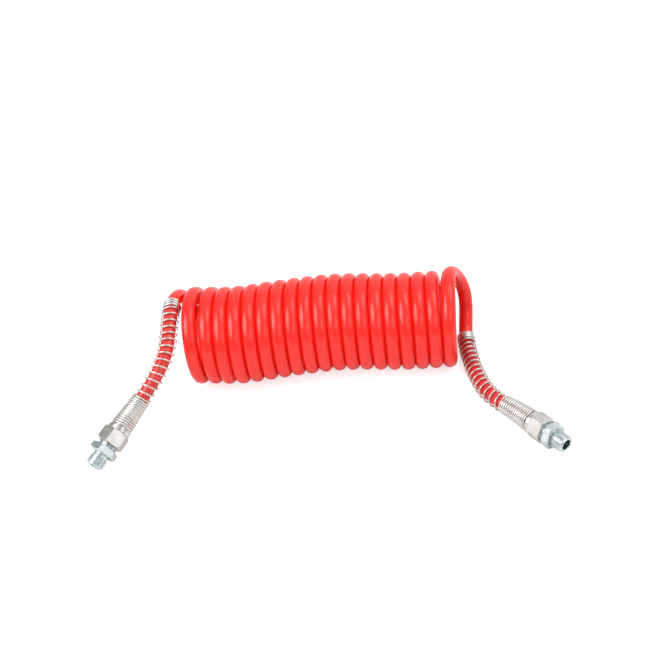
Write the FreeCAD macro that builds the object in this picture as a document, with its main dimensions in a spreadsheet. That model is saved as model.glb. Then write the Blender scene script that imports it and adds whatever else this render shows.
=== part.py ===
"""Coiled air hose of a lorry and its trailer: a wound polyamide tube with a screwed fitting at each end.

+X runs along the coil, +Y to the back, +Z up, in millimetres. The coil lies on the floor, z = 0, and the
origin is the middle of the flat under its middle turn. Each fitting is drawn along its own +Z, from the
face of its port backwards along the hose, and is then laid in place.
"""

import FreeCAD, Part
import math
import os

import Sketcher

SIZES = (
    ("hose_diameter", 12.0, "outside of the tube"),
    ("hose_bore", 9.0, "inside of the tube"),
    ("coil_radius", 38.7, "axis of the coil to the middle of the tube"),
    ("coil_pitch", 12.66, "from one turn to the next"),
    ("coil_lean", 0.095, "how far a turn's top leans to the left, for each mm of height"),
    ("floor_cut", 0.5, "depth of the flat under each turn"),
    ("left_turns", 9.575, "turns to the left of the origin"),
    ("right_turns", 10.0, "turns to the right of the origin"),
    ("back_bow", 5.7, "how far the coil bows to the back, right of its middle"),
    ("front_bow", 3.75, "how far it bows to the front, near its left end"),
    ("left_opening", 2.3, "how far the top of the first front turn stands off from the next"),
    ("left_drift", 4.6, "how far the coil's left end draws outwards"),
    ("left_swing", 4.5, "how hard it swings outwards"),
    ("right_swing", 14.2, "how far the last turn swings outwards"),
    ("right_return", 8.8, "how far it swings back"),
    ("right_lift", 3.65, "how far the guard spring lifts the last turn"),
    ("left_run", 21.3, "straight hose after the coil's left end"),
    ("right_run", 24.4, "straight hose after the coil's right end"),
    ("left_elbow_out", 11.2, "left bend, outwards from the coil's end"),
    ("left_elbow_front", 69.7, "left bend, in front of the coil's axis"),
    ("left_elbow_height", 51.9, "left bend, above the floor"),
    ("right_elbow_out", 8.7, "right bend, outwards from the coil's end"),
    ("right_elbow_front", 74.8, "right bend, in front of the coil's axis"),
    ("right_elbow_height", 9.6, "right bend, above the floor"),
    ("left_port_out", 68.8, "left port's face, outwards from the coil's end"),
    ("left_port_front", 129.2, "left port's face, in front of the coil's axis"),
    ("right_port_out", 64.0, "right port's face, outwards from the coil's end"),
    ("right_port_front", 145.9, "right port's face, in front of the coil's axis"),
    ("floor_gap", 0.1, "between a fitting and the floor"),
    ("fitting_reach", 55.0, "port's face to the last bend of the hose"),
    ("hose_stop", 20.0, "port's face to the end of the hose"),
    ("port_diameter", 15.85, "M16 x 1.5 male thread, over its crests"),
    ("port_length", 9.4, "threaded length of the port"),
    ("port_bore", 9.5, "air way through the port"),
    ("port_chamfer", 1.2, "lead-in of the port's thread"),
    ("relief_diameter", 13.4, "groove behind the port's thread"),
    ("relief_length", 3.0, "groove behind the port's thread"),
    ("relief_slope", 0.7, "slanted shoulder of that groove"),
    ("hex_width", 22.0, "across the flats, both hexagons"),
    ("hex_crown", 20.6, "diameter where a hexagon's end chamfer starts"),
    ("body_hex_length", 7.0, "thickness of the nipple's hexagon"),
    ("stud_diameter", 17.7, "M18 x 1.5 thread for the union nut, over its crests"),
    ("stud_length", 11.2, "nipple's hexagon to the mouth of its socket"),
    ("stud_relief", 1.6, "groove between the hexagon and the stud's thread"),
    ("stud_relief_depth", 0.8, "depth of that groove"),
    ("stud_chamfer", 0.7, "lead-in of the stud's thread"),
    ("socket_clearance", 0.08, "between the hose and the nipple's socket, each side"),
    ("cone_length", 5.6, "conical mouth of the socket"),
    ("flange_thickness", 1.0, "collar of the support sleeve"),
    ("flange_diameter", 11.6, "collar of the support sleeve"),
    ("sleeve_length", 15.0, "support sleeve inside the hose"),
    ("sleeve_clearance", 0.05, "between the sleeve and the hose's bore, each side"),
    ("sleeve_wall", 0.75, "wall of the support sleeve"),
    ("ring_clearance", 0.05, "around and inside the clamp ring, each side"),
    ("ring_nose", 3.6, "length of the clamp ring inside the cone"),
    ("ring_diameter", 15.2, "clamp ring behind the cone"),
    ("ring_band", 1.8, "straight band of the clamp ring"),
    ("ring_bevel", 1.0, "slanted back of the clamp ring"),
    ("nut_gap", 3.0, "thread left open between the nipple's hexagon and the nut"),
    ("nut_hex_length", 14.0, "hexagon of the union nut"),
    ("nut_thread_gap", 0.2, "between the nut and the stud, each side"),
    ("nut_seat_gap", 0.3, "between the nut's cone and the clamp ring"),
    ("nut_hose_gap", 0.5, "between the nut and the hose, each side"),
    ("collar_diameter", 21.0, "round collar behind the nut's hexagon"),
    ("collar_length", 3.0, "round collar behind the nut's hexagon"),
    ("nose_diameter", 17.0, "tail of the nut, inside the guard spring"),
    ("nose_length", 3.3, "tail of the nut, inside the guard spring"),
    ("nose_chamfer", 0.6, "end of the nut's tail"),
    ("left_nut_turn", 40.3, "degrees from a corner straight up"),
    ("left_body_turn", 43.0, "degrees from a corner straight up"),
    ("right_nut_turn", 30.0, "degrees from a corner straight up, which lays a flat on the floor"),
    ("right_body_turn", 29.5, "degrees from a corner straight up"),
    ("wire", 1.6, "wire of the guard springs"),
    ("spring_clearance", 0.8, "between the hose and a guard spring, each side"),
    ("spring_fit", 0.15, "between a guard spring and the nut"),
    ("start_pitch", 2.6, "closed curls at the coil"),
    ("end_pitch", 2.25, "closed curls at the nut"),
    ("left_open_pitch", 6.25, "open curls of the left guard spring"),
    ("right_open_pitch", 6.7, "open curls of the right guard spring, a little drawn out"),
    ("start_curls", 3.0, "number of closed curls at the coil"),
    ("open_curls", 14.0, "number of open curls"),
    ("end_curls", 14.0, "number of closed curls at the nut"),
    ("seat_curls", 1.5, "number of those that sit on the nut"),
)

SMALL = 1e-7
BACK_BOW = (1.2, 5.65)  # turn where each bow is at its widest, and turns from there to its ends
FRONT_BOW = (-6.0, 3.3)
LEFT_OPENING = (-8.5, 0.55)
LEFT_DRIFT = (0.6, 0.05)  # turns before the coil's end where each change starts and ends
LEFT_SWING = (0.14, -0.14)
RIGHT_LIFT = (0.85, 0.45)
RIGHT_SWING = (0.5, 0.2)
RIGHT_RETURN = (0.24, 0.0)
TURN_SPANS = 4  # biarcs in a turn of the coil
END_SPANS = 8  # biarcs in a turn where the coil's ends swing out
END_TURNS = 1.65  # length of those ends, in turns
CURL_SPANS = 2  # biarcs in a curl of a guard spring
ARC_SHARE = 0.45  # share of the shorter run that a bend takes up at each side
CONE = math.tan(math.radians(12.0))  # 24 degree cone of a compression fitting
HEX_BEVEL = math.tan(math.radians(30.0))
UP = FreeCAD.Vector(0, 0, 1)


class Size:
    """A length of the sheet, or a sum of such lengths: its value, and the expression that a feature is bound to."""

    def __init__(self, value, text):
        self.value = float(value)
        self.text = text

    def _join(self, sign, other, value):
        return Size(value, f"({self.text} {sign} {as_size(other).text})")

    def __add__(self, other):
        return self._join("+", other, self.value + as_size(other).value)

    def __sub__(self, other):
        return self._join("-", other, self.value - as_size(other).value)

    def __mul__(self, other):
        return self._join("*", other, self.value * as_size(other).value)

    def __truediv__(self, other):
        return self._join("/", other, self.value / as_size(other).value)


def as_size(number):
    return number if isinstance(number, Size) else Size(number, f"{number:.9g}")


class Sheet:
    """The sheet of driving sizes, read by name."""

    def __init__(self, doc):
        self.sheet = doc.addObject("Spreadsheet::Sheet", "Sizes")
        for row, (alias, value, note) in enumerate(SIZES, start=1):
            self.sheet.set(f"A{row}", alias)
            self.sheet.set(f"B{row}", str(value))
            self.sheet.set(f"C{row}", note)
            self.sheet.setAlias(f"B{row}", alias)
        doc.recompute()

    def __getattr__(self, alias):
        return Size(self.sheet.get(alias), f"Sizes.{alias}")


doc = FreeCAD.newDocument("CoiledAirHose")
size = Sheet(doc)


def smooth(share):
    """0 to 1 with level ends."""
    share = min(max(share, 0.0), 1.0)
    return share * share * (3.0 - 2.0 * share)


def smooth_area(share):
    """Area under smooth() from 0 to share."""
    if share <= 0.0:
        return 0.0
    if share >= 1.0:
        return share - 0.5
    return share ** 3 - share ** 4 / 2.0


# Paths of lines and tangent arcs


class Line:
    """A straight stretch of a path."""

    def __init__(self, start, end):
        self.start = start
        self.end = end
        self.length = (end - start).Length
        self.way = (end - start) / self.length

    def point(self, along):
        return self.start + self.way * along

    def turn(self, along):
        return FreeCAD.Rotation()

    def edge(self):
        return Part.LineSegment(self.start, self.end).toShape()


class Arc:
    """A circular stretch that starts along a given direction."""

    def __init__(self, start, way, end):
        chord = end - start
        half = chord.Length / 2.0
        cosine = min(1.0, (way * chord) / (2.0 * half))
        self.half_angle = math.acos(cosine)
        self.radius = half / math.sin(self.half_angle)
        self.axis = way.cross(chord).normalize()
        self.centre = start + self.axis.cross(way) * self.radius
        self.start = start
        self.end = end
        self.way = way
        self.length = 2.0 * self.half_angle * self.radius

    def turn(self, along):
        return FreeCAD.Rotation(self.axis, math.degrees(along / self.radius))

    def point(self, along):
        return self.centre + self.turn(along).multVec(self.start - self.centre)

    def edge(self):
        return Part.Arc(self.start, self.point(self.length / 2.0), self.end).toShape()


def stretch(start, way, end):
    """An arc, or a line where the end lies straight ahead."""
    across = way.cross((end - start).normalize())
    return Line(start, end) if across.Length < SMALL else Arc(start, way, end)


class Path:
    """Stretches end to end, with a frame that is carried along them without twist."""

    def __init__(self, stretches):
        self.stretches = stretches
        way = stretches[0].way
        side = way.cross(UP)
        if side.Length < 0.1:
            side = way.cross(FreeCAD.Vector(1, 0, 0))
        side.normalize()
        self.stations = []
        carried = FreeCAD.Rotation()
        along = 0.0
        for piece in stretches:
            self.stations.append((along, piece, carried))
            carried = piece.turn(piece.length).multiply(carried)
            along += piece.length
        self.length = along
        self.side = side
        self.start_way = way

    def place(self, along):
        """Point, direction and side direction at a distance along the path."""
        index = len(self.stations) - 1
        while index > 0 and self.stations[index][0] > along:
            index -= 1
        start, piece, carried = self.stations[index]
        turned = piece.turn(along - start).multiply(carried)
        return piece.point(along - start), turned.multVec(self.start_way), turned.multVec(self.side)

    def wire(self):
        return Part.Wire([piece.edge() for piece in self.stretches])

    def end(self):
        return self.stretches[-1].end

    def end_way(self):
        return self.place(self.length)[1]

    def backwards(self):
        turned = []
        for piece in reversed(self.stretches):
            way = piece.turn(piece.length).multVec(piece.way)
            turned.append(stretch(piece.end, way * -1.0, piece.start))
        return Path(turned)

    def last(self, length):
        """The stretches that make up about the last given length."""
        kept = []
        left = length
        for piece in reversed(self.stretches):
            if left <= 0.0:
                break
            kept.insert(0, piece)
            left -= piece.length
        return kept

    def bends(self):
        return [piece.radius for piece in self.stretches if isinstance(piece, Arc)]


def biarc(start, start_way, end, end_way):
    """Two arcs that join two points along the given directions."""
    chord = end - start
    ways = start_way + end_way
    spread = 2.0 * (1.0 - start_way * end_way)
    along = chord * ways
    if spread < SMALL:
        reach = chord * chord / (2.0 * along)
    else:
        reach = (math.sqrt(along * along + spread * (chord * chord)) - along) / spread
    middle = (start + start_way * reach + end - end_way * reach) / 2.0
    first = stretch(start, start_way, middle)
    middle_way = first.turn(first.length).multVec(first.way)
    return [first, stretch(middle, middle_way, end)]


def shared(first, last, spans):
    """Evenly spaced turns from first to last, with about so many spans in each turn."""
    count = round((last - first) * spans)
    return [first + (last - first) * number / count for number in range(count + 1)]


def wound(point, turns, end_run):
    """A wound path of biarcs between the given turns, with a straight run at each end."""
    step = 1e-4
    places = [point(turn) for turn in turns]
    ways = [(point(turn + step) - point(turn - step)).normalize() for turn in turns]
    stretches = [Line(places[0] - ways[0] * end_run, places[0])]
    for number in range(len(turns) - 1):
        stretches += biarc(places[number], ways[number], places[number + 1], ways[number + 1])
    stretches.append(Line(places[-1], places[-1] + ways[-1] * end_run))
    return Path(stretches)


def bent(points):
    """Straight runs through the points, joined by arcs as large as the runs allow."""
    stretches = []
    start = points[0]
    for before, corner, after in zip(points, points[1:], points[2:]):
        into = (corner - before).normalize()
        out = (after - corner).normalize()
        reach = ARC_SHARE * min((corner - before).Length, (after - corner).Length)
        arc_start = corner - into * reach
        stretches.append(Line(start, arc_start))
        stretches.append(stretch(arc_start, into, corner + out * reach))
        start = corner + out * reach
    stretches.append(Line(start, points[-1]))
    return Path(stretches)


def least_gap(path, thickness, turn_length, samples=48):
    """Least distance from a wound tube's skin to its own next turn, measured on points."""
    step = turn_length / samples
    count = int(path.length / step)
    places = [path.place(number * step)[0] for number in range(count + 1)]
    least = None
    for number, place in enumerate(places):
        for other in places[number + samples // 2 : number + 2 * samples]:
            apart = (other - place).Length
            least = apart if least is None else min(least, apart)
    return least - thickness


def swept(path, radius):
    """A round bar along a path."""
    way = path.stretches[0].way
    section = Part.Wire([Part.Circle(path.stretches[0].start, way, radius).toShape()])
    return path.wire().makePipeShell([section], True, False)


def feature(label, shape):
    """A named object of the document that holds a finished shape."""
    thing = doc.addObject("Part::Feature", label)
    thing.Label = label
    thing.Shape = shape
    return thing


# The hose

HOSE_RADIUS = size.hose_diameter.value / 2.0
COIL_RADIUS = size.coil_radius.value
AXIS_HEIGHT = COIL_RADIUS + HOSE_RADIUS - size.floor_cut.value
LEFT_END = -size.left_turns.value
RIGHT_END = size.right_turns.value
PITCH = size.coil_pitch.value
LEAN = size.coil_lean.value


def change(amount, span, remaining):
    """Part of a smooth change, where so many turns remain to the coil's end."""
    return amount.value * smooth((span[0] - remaining) / (span[0] - span[1]))


def bow(amount, span, turn):
    """Part of a smooth bow that has its own middle and reach, in turns."""
    return amount.value * smooth(1.0 - abs(turn - span[0]) / span[1])


def bows(turn):
    """How far back the coil's axis lies at a turn, as the loose coil isn't straight."""
    return bow(size.back_bow, BACK_BOW, turn) - bow(size.front_bow, FRONT_BOW, turn)


def coil_point(turn):
    """Middle of the tube, a number of turns from the bottom of the middle turn."""
    angle = 2.0 * math.pi * turn
    rise = COIL_RADIUS * (1.0 - math.cos(angle))
    left = turn - LEFT_END
    right = RIGHT_END - turn
    along = PITCH * turn - LEAN * rise - bow(size.left_opening, LEFT_OPENING, turn)
    along -= change(size.left_drift, LEFT_DRIFT, left) + change(size.left_swing, LEFT_SWING, left)
    along += change(size.right_swing, RIGHT_SWING, right) - change(size.right_return, RIGHT_RETURN, right)
    height = AXIS_HEIGHT - COIL_RADIUS + rise + change(size.right_lift, RIGHT_LIFT, right)
    return FreeCAD.Vector(along, bows(turn) - bows(0.0) - COIL_RADIUS * math.sin(angle), height)


def tube(path):
    """A length of hose with its bore."""
    return swept(path, HOSE_RADIUS).cut(swept(path, size.hose_bore.value / 2.0))


def make_coil():
    """The wound middle of the hose, flat where it lies on the floor."""
    left = shared(LEFT_END, LEFT_END + END_TURNS, END_SPANS)
    right = shared(RIGHT_END - END_TURNS, RIGHT_END, END_SPANS)
    middle = shared(left[-1], right[0], TURN_SPANS)
    path = wound(coil_point, left + middle[1:-1] + right, size.hose_diameter.value)
    shape = tube(path)
    bounds = shape.BoundBox
    length = bounds.XLength + 2.0 * HOSE_RADIUS
    below = Part.makeBox(length, bounds.YLength, COIL_RADIUS)
    below.translate(FreeCAD.Vector(bounds.XMin - HOSE_RADIUS, bounds.YMin, -COIL_RADIUS))
    feature("hose_coil", shape.cut(below).Solids[0])
    turn_length = 2.0 * math.pi * COIL_RADIUS
    print("coil: length of hose", round(path.length, 1))
    print("coil: least gap to itself", round(least_gap(path, size.hose_diameter.value, turn_length), 3))
    return path


class HoseEnd:
    """One end of the hose: where its fitting lies, and the routes of its tail and its guard spring."""

    def __init__(self, side, coil):
        self.side = side
        left = side == "left"
        self.outwards = -1.0 if left else 1.0
        self.coil = coil.backwards() if left else coil
        port_height = self.port_height(left)
        self.port = self.beside("port_out", "port_front", port_height)
        self.elbow = self.beside("elbow_out", "elbow_front", self.value("elbow_height"))
        self.back = self.direction(left)
        leave = self.coil.end()
        run = leave + self.coil.end_way() * self.value("run")
        last = self.along_fitting(size.fitting_reach.value)
        stop = self.along_fitting(size.hose_stop.value)
        self.points = [leave, run, self.elbow, last, stop]
        self.tail = bent(self.points)

    def value(self, name):
        return getattr(size, f"{self.side}_{name}").value

    def beside(self, out, front, height):
        along = self.coil.end().x + self.outwards * self.value(out)
        return FreeCAD.Vector(along, -self.value(front), height)

    def port_height(self, left):
        """The left port's rim meets the floor at a slant, and the right nut lies on one of its flats."""
        if left:
            rim = size.port_diameter.value / 2.0 * LEFT_RIM - size.port_chamfer.value * LEFT_WAY[2]
            return rim + size.floor_gap.value
        return size.hex_width.value / 2.0 + size.floor_gap.value

    def direction(self, left):
        """Backwards along the fitting, from its port to the hose."""
        way = LEFT_WAY if left else RIGHT_WAY
        return FreeCAD.Vector(*way).normalize()

    def along_fitting(self, reach):
        return self.port + self.back * reach

    def placement(self, degrees=0.0):
        """Lays a piece that is drawn along +Z in the fitting, turned about it."""
        top = UP - self.back * (UP * self.back)
        top.normalize()
        turn = FreeCAD.Rotation(top, self.back.cross(top), self.back, "ZXY")
        roll = FreeCAD.Rotation(UP, -degrees)
        return FreeCAD.Placement(self.port, turn.multiply(roll))


LEFT_WAY = (0.5957, 0.6925, 0.4070)
RIGHT_WAY = (-0.594, 0.804, 0.0)
LEFT_RIM = math.cos(math.asin(LEFT_WAY[2]))


def make_tail(end):
    """The hose from the coil to its stop in the fitting."""
    shape = tube(end.tail)
    outer = HOSE_RADIUS ** 2 - (size.hose_bore.value / 2.0) ** 2
    print(f"{end.side} tail: length", round(end.tail.length, 1))
    print(f"{end.side} tail: radii", [round(radius, 1) for radius in end.tail.bends()])
    print(f"{end.side} tail: volume / (section x length)", round(shape.Volume / (math.pi * outer * end.tail.length), 5))
    feature(f"hose_tail_{end.side}", shape)


def make_guard_spring(end):
    """A kink guard: a few closed curls at the coil, open curls, and a closed stretch that widens to the nut."""
    closed = size.start_pitch.value
    opened = end.value("open_pitch")
    last = size.end_pitch.value
    first = size.start_curls.value
    second = first + size.open_curls.value
    total = second + size.end_curls.value
    length = closed * total + (opened - closed) * (total - first) + (last - opened) * (total - second)
    seat = size.hose_stop.value - nut_back().value - (size.wire.value / 2.0 + size.spring_fit.value)
    before = length - (end.tail.length + seat)
    lead = end.coil.last(before)
    axis = Path(lead + end.tail.stretches)
    start = axis.length + seat - length
    narrow = HOSE_RADIUS + size.spring_clearance.value + size.wire.value / 2.0
    wide = size.nose_diameter.value / 2.0 + size.spring_fit.value + size.wire.value / 2.0
    widening = size.end_curls.value - size.seat_curls.value

    def spring_point(turn):
        opening = (opened - closed) * smooth_area(turn - first + 0.5)
        closing = (last - opened) * smooth_area(turn - second + 0.5)
        along = start + closed * turn + opening + closing
        place, way, side = axis.place(along)
        radius = narrow + (wide - narrow) * min(max((turn - second) / widening, 0.0), 1.0)
        angle = 2.0 * math.pi * turn
        return place + side * (radius * math.cos(angle)) + way.cross(side) * (radius * math.sin(angle))

    path = wound(spring_point, shared(0.0, total, CURL_SPANS), size.wire.value)
    shape = swept(path, size.wire.value / 2.0)
    gap = least_gap(path, size.wire.value, 2.0 * math.pi * narrow)
    print(f"{end.side} guard spring: curls", total, "start on the axis", round(start, 1))
    print(f"{end.side} guard spring: least gap to itself", round(gap, 3))
    feature(f"guard_spring_{end.side}", shape)


# The turned pieces of a fitting


def origin_plane(body, role):
    return next(plane for plane in body.Origin.OriginFeatures if plane.Role == role)


def section_sketch(body, name, outlines):
    """Closed outlines of (radius, height) on the body's XZ plane, each corner bound to the sheet."""
    sketch = body.newObject("Sketcher::SketchObject", name)
    sketch.AttachmentSupport = [(origin_plane(body, "XZ_Plane"), "")]
    sketch.MapMode = "FlatFace"
    for outline in outlines:
        corners = [(as_size(radius), as_size(height)) for radius, height in outline]
        spots = [FreeCAD.Vector(radius.value, height.value, 0) for radius, height in corners]
        base = sketch.GeometryCount
        count = len(spots)
        for number in range(count):
            sketch.addGeometry(Part.LineSegment(spots[number], spots[(number + 1) % count]), False)
        for number in range(count):
            following = base + (number + 1) % count
            sketch.addConstraint(Sketcher.Constraint("Coincident", base + number, 2, following, 1))
        for number, corner in enumerate(corners):
            for kind, length in zip(("DistanceX", "DistanceY"), corner):
                place = Sketcher.Constraint(kind, -1, 1, base + number, 1, length.value)
                index = sketch.addConstraint(place)
                sketch.setExpression(f"Constraints[{index}]", length.text)
    return sketch


def revolve(body, kind, name, outlines):
    """Turns outlines about the body's Z axis, as a Revolution or a Groove."""
    sketch = section_sketch(body, f"{name}Section", outlines)
    turned = body.newObject(f"PartDesign::{kind}", name)
    turned.Profile = sketch
    turned.ReferenceAxis = (sketch, ["V_Axis"])
    turned.Angle = 360.0
    doc.recompute()
    return turned


def hexagon(body, name, start, length):
    """A hexagon bar with turned ends."""
    corner = size.hex_width / math.sqrt(3.0)
    crown = size.hex_crown / 2.0
    prism = body.newObject("PartDesign::AdditivePrism", name)
    prism.Polygon = 6
    prism.setExpression("Circumradius", corner.text)
    prism.setExpression("Height", as_size(length).text)
    prism.setExpression("Placement.Base.z", as_size(start).text)
    doc.recompute()
    outside = corner + 1.0
    depth = (outside - crown) * HEX_BEVEL
    end = start + length
    lower = [(crown, start), (outside, start), (outside, start + depth)]
    upper = [(crown, end), (outside, end - depth), (outside, end)]
    revolve(body, "Groove", f"{name}Bevel", [lower, upper])


def new_body(label):
    body = doc.addObject("PartDesign::Body", label)
    body.Label = label
    return body


def body_hex_start():
    return size.port_length + size.relief_length


def stud_start():
    return body_hex_start() + size.body_hex_length


def stud_end():
    return stud_start() + size.stud_length


def nut_front():
    return stud_start() + size.nut_gap


def nut_back():
    """Back face of the nut's collar."""
    return nut_front() + size.nut_hex_length + size.collar_length


def socket_radius():
    return size.hose_diameter / 2.0 + size.socket_clearance


def mouth_radius():
    return socket_radius() + size.cone_length * CONE


def make_nipple(end):
    """Port, hexagon and stud in one piece, bored for the air and socketed for the hose."""
    body = new_body(f"nipple_{end.side}")
    hexagon(body, "Hex", body_hex_start(), size.body_hex_length)
    port = size.port_diameter / 2.0
    relief = size.relief_diameter / 2.0
    stud = size.stud_diameter / 2.0
    neck = stud - size.stud_relief_depth
    inside = body_hex_start() + size.body_hex_length / 2.0
    spigot = [
        (0.0, 0.0),
        (port - size.port_chamfer, 0.0),
        (port, size.port_chamfer),
        (port, size.port_length),
        (relief, size.port_length + size.relief_slope),
        (relief, inside),
        (0.0, inside),
    ]
    thread = [
        (0.0, inside),
        (neck, inside),
        (neck, stud_start() + size.stud_relief - size.stud_relief_depth),
        (stud, stud_start() + size.stud_relief),
        (stud, stud_end() - size.stud_chamfer),
        (stud - size.stud_chamfer, stud_end()),
        (0.0, stud_end()),
    ]
    revolve(body, "Revolution", "Spigot", [spigot])
    revolve(body, "Revolution", "Stud", [thread])
    floor = size.hose_stop - size.flange_thickness
    bore = size.port_bore / 2.0
    mouth = size.port_chamfer / 2.0
    airway = [
        (0.0, 0.0),
        (bore + mouth, 0.0),
        (bore, mouth),
        (bore, floor),
        (socket_radius(), floor),
        (socket_radius(), stud_end() - size.cone_length),
        (mouth_radius(), stud_end()),
        (0.0, stud_end()),
    ]
    revolve(body, "Groove", "Airway", [airway])
    body.Placement = end.placement(end.value("body_turn"))


def make_union_nut(end):
    """Hexagon, collar and tail, bored for the stud, the clamp ring and the hose."""
    body = new_body(f"union_nut_{end.side}")
    hexagon(body, "Hex", nut_front(), size.nut_hex_length)
    collar_start = nut_front() + size.nut_hex_length
    inside = collar_start - size.collar_length
    nose_end = nut_back() + size.nose_length
    collar = size.collar_diameter / 2.0
    nose = size.nose_diameter / 2.0
    tail = [
        (0.0, inside),
        (nose, inside),
        (nose, collar_start),
        (collar, collar_start),
        (collar, nut_back()),
        (nose, nut_back()),
        (nose, nose_end - size.nose_chamfer),
        (nose - size.nose_chamfer, nose_end),
        (0.0, nose_end),
    ]
    revolve(body, "Revolution", "Tail", [tail])
    thread = size.stud_diameter / 2.0 + size.nut_thread_gap
    passage = size.hose_diameter / 2.0 + size.nut_hose_gap
    ring_corner = stud_end() + ring_shoulder() + size.ring_band + size.ring_diameter / 2.0
    seat = ring_corner + size.nut_seat_gap * math.sqrt(2.0)
    bore = [
        (0.0, nut_front()),
        (thread + size.stud_chamfer, nut_front()),
        (thread, nut_front() + size.stud_chamfer),
        (thread, seat - thread),
        (passage, seat - passage),
        (passage, nose_end),
        (0.0, nose_end),
    ]
    revolve(body, "Groove", "Bore", [bore])
    body.Placement = end.placement(end.value("nut_turn"))


def ring_shoulder():
    """Slanted front of the clamp ring's band, outside the cone."""
    return size.ring_diameter / 2.0 - (mouth_radius() - size.ring_clearance)


def make_clamp_ring(end):
    """The ring that the nut wedges between the nipple's cone and the hose."""
    body = new_body(f"clamp_ring_{end.side}")
    inner = size.hose_diameter / 2.0 + size.ring_clearance
    outer = size.ring_diameter / 2.0
    mouth = mouth_radius() - size.ring_clearance
    front = stud_end() - size.ring_nose
    band = stud_end() + ring_shoulder()
    back = band + size.ring_band
    outline = [
        (inner, front),
        (mouth - size.ring_nose * CONE, front),
        (mouth, stud_end()),
        (outer, band),
        (outer, back),
        (outer - size.ring_bevel, back + size.ring_bevel),
        (inner, back + size.ring_bevel),
    ]
    revolve(body, "Revolution", "Ring", [outline])
    body.Placement = end.placement()


def make_support_sleeve(end):
    """The collared sleeve that keeps the hose round under the clamp ring."""
    body = new_body(f"support_sleeve_{end.side}")
    outer = size.hose_bore / 2.0 - size.sleeve_clearance
    inner = outer - size.sleeve_wall
    floor = size.hose_stop - size.flange_thickness
    tip = size.hose_stop + size.sleeve_length
    outline = [
        (inner, floor),
        (size.flange_diameter / 2.0, floor),
        (size.flange_diameter / 2.0, size.hose_stop),
        (outer, size.hose_stop),
        (outer, tip),
        (inner, tip),
    ]
    revolve(body, "Revolution", "Sleeve", [outline])
    body.Placement = end.placement()


def export():
    """Checks every object of the document and writes each piece to its own file."""
    doc.recompute()
    for thing in doc.Objects:
        if "Invalid" in thing.State or "Error" in thing.State:
            raise RuntimeError(f"{thing.Label} failed: {thing.State}")
    kinds = ("PartDesign::Body", "Part::Feature")
    pieces = [thing for thing in doc.Objects if thing.TypeId in kinds]
    for piece in pieces:
        if piece.Shape.isNull() or not piece.Shape.isValid() or len(piece.Shape.Solids) != 1:
            raise RuntimeError(f"{piece.Label} is not one valid solid")
    os.makedirs("parts", exist_ok=True)
    for piece in pieces:
        piece.Shape.exportStep(f"parts/{piece.Label}.step")
        print(piece.Label, round(piece.Shape.Volume), "mm3", len(piece.Shape.Faces), "faces")


coil = make_coil()
for hose_end in (HoseEnd("left", coil), HoseEnd("right", coil)):
    make_tail(hose_end)
    make_guard_spring(hose_end)
    make_nipple(hose_end)
    make_union_nut(hose_end)
    make_clamp_ring(hose_end)
    make_support_sleeve(hose_end)
export()
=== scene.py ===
"""Dresses the coiled air hose: hose, guard springs, union nuts and nipples, with their finishes, and the studio.

Every length is in metres, in the frame of the CAD model. A turned piece is drawn along its own +Z, from the
port's face backwards along the hose, and its vertices are then laid in place.
"""

import logging
import math
from collections.abc import Callable, Sequence
from dataclasses import dataclass, field
from enum import Enum
from functools import partial
from typing import Any

import bmesh
import bpy
from mathutils import Matrix, Vector


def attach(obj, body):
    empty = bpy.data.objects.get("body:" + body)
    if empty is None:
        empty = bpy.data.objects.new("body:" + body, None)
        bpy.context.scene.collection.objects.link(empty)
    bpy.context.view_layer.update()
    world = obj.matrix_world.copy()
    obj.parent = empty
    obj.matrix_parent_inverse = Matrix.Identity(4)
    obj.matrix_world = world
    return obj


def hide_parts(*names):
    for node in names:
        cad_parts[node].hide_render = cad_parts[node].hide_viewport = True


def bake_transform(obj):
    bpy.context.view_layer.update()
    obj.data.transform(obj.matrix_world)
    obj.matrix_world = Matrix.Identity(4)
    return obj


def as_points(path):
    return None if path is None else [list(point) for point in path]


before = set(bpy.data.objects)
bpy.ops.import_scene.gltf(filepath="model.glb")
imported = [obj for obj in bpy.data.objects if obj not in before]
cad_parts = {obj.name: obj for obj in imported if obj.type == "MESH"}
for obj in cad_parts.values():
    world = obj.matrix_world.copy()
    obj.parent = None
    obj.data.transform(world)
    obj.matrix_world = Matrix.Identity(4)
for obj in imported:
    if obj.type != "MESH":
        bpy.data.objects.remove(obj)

log = logging.getLogger("coiled_air_hose")

MM = 0.001
TAU = 2.0 * math.pi
UV_MAP = "skin"


def smooth(share: float) -> float:
    """Goes from 0 to 1 with level ends."""
    share = min(max(share, 0.0), 1.0)
    return share * share * (3.0 - 2.0 * share)


def smooth_area(share: float) -> float:
    """Finds the area under smooth().

    Args:
        share: where the area ends. It starts at 0.

    Returns:
        The area, which is 0.5 at a share of 1.
    """
    if share <= 0.0:
        return 0.0
    if share >= 1.0:
        return share - 0.5
    return share**3 - share**4 / 2.0


class Side(Enum):
    """The two ends of the hose."""

    LEFT = "left"
    RIGHT = "right"


# Finishes


def linear(code: str) -> tuple[float, float, float, float]:
    """Turns an sRGB hex colour into Blender's linear colour.

    Args:
        code: six hex digits, such as "F03028".

    Returns:
        Red, green, blue and an alpha of 1.
    """
    parts = [int(code[start : start + 2], 16) / 255.0 for start in (0, 2, 4)]
    values = [part / 12.92 if part <= 0.04045 else ((part + 0.055) / 1.055) ** 2.4 for part in parts]
    return (values[0], values[1], values[2], 1.0)


def empty_tree(owner: bpy.types.Material | bpy.types.World) -> bpy.types.NodeTree:
    """Gives a material or a world a tree with no nodes.

    Args:
        owner: the material or the world.

    Returns:
        Its tree.
    """
    owner.use_nodes = True
    owner.node_tree.nodes.clear()
    return owner.node_tree


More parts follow.
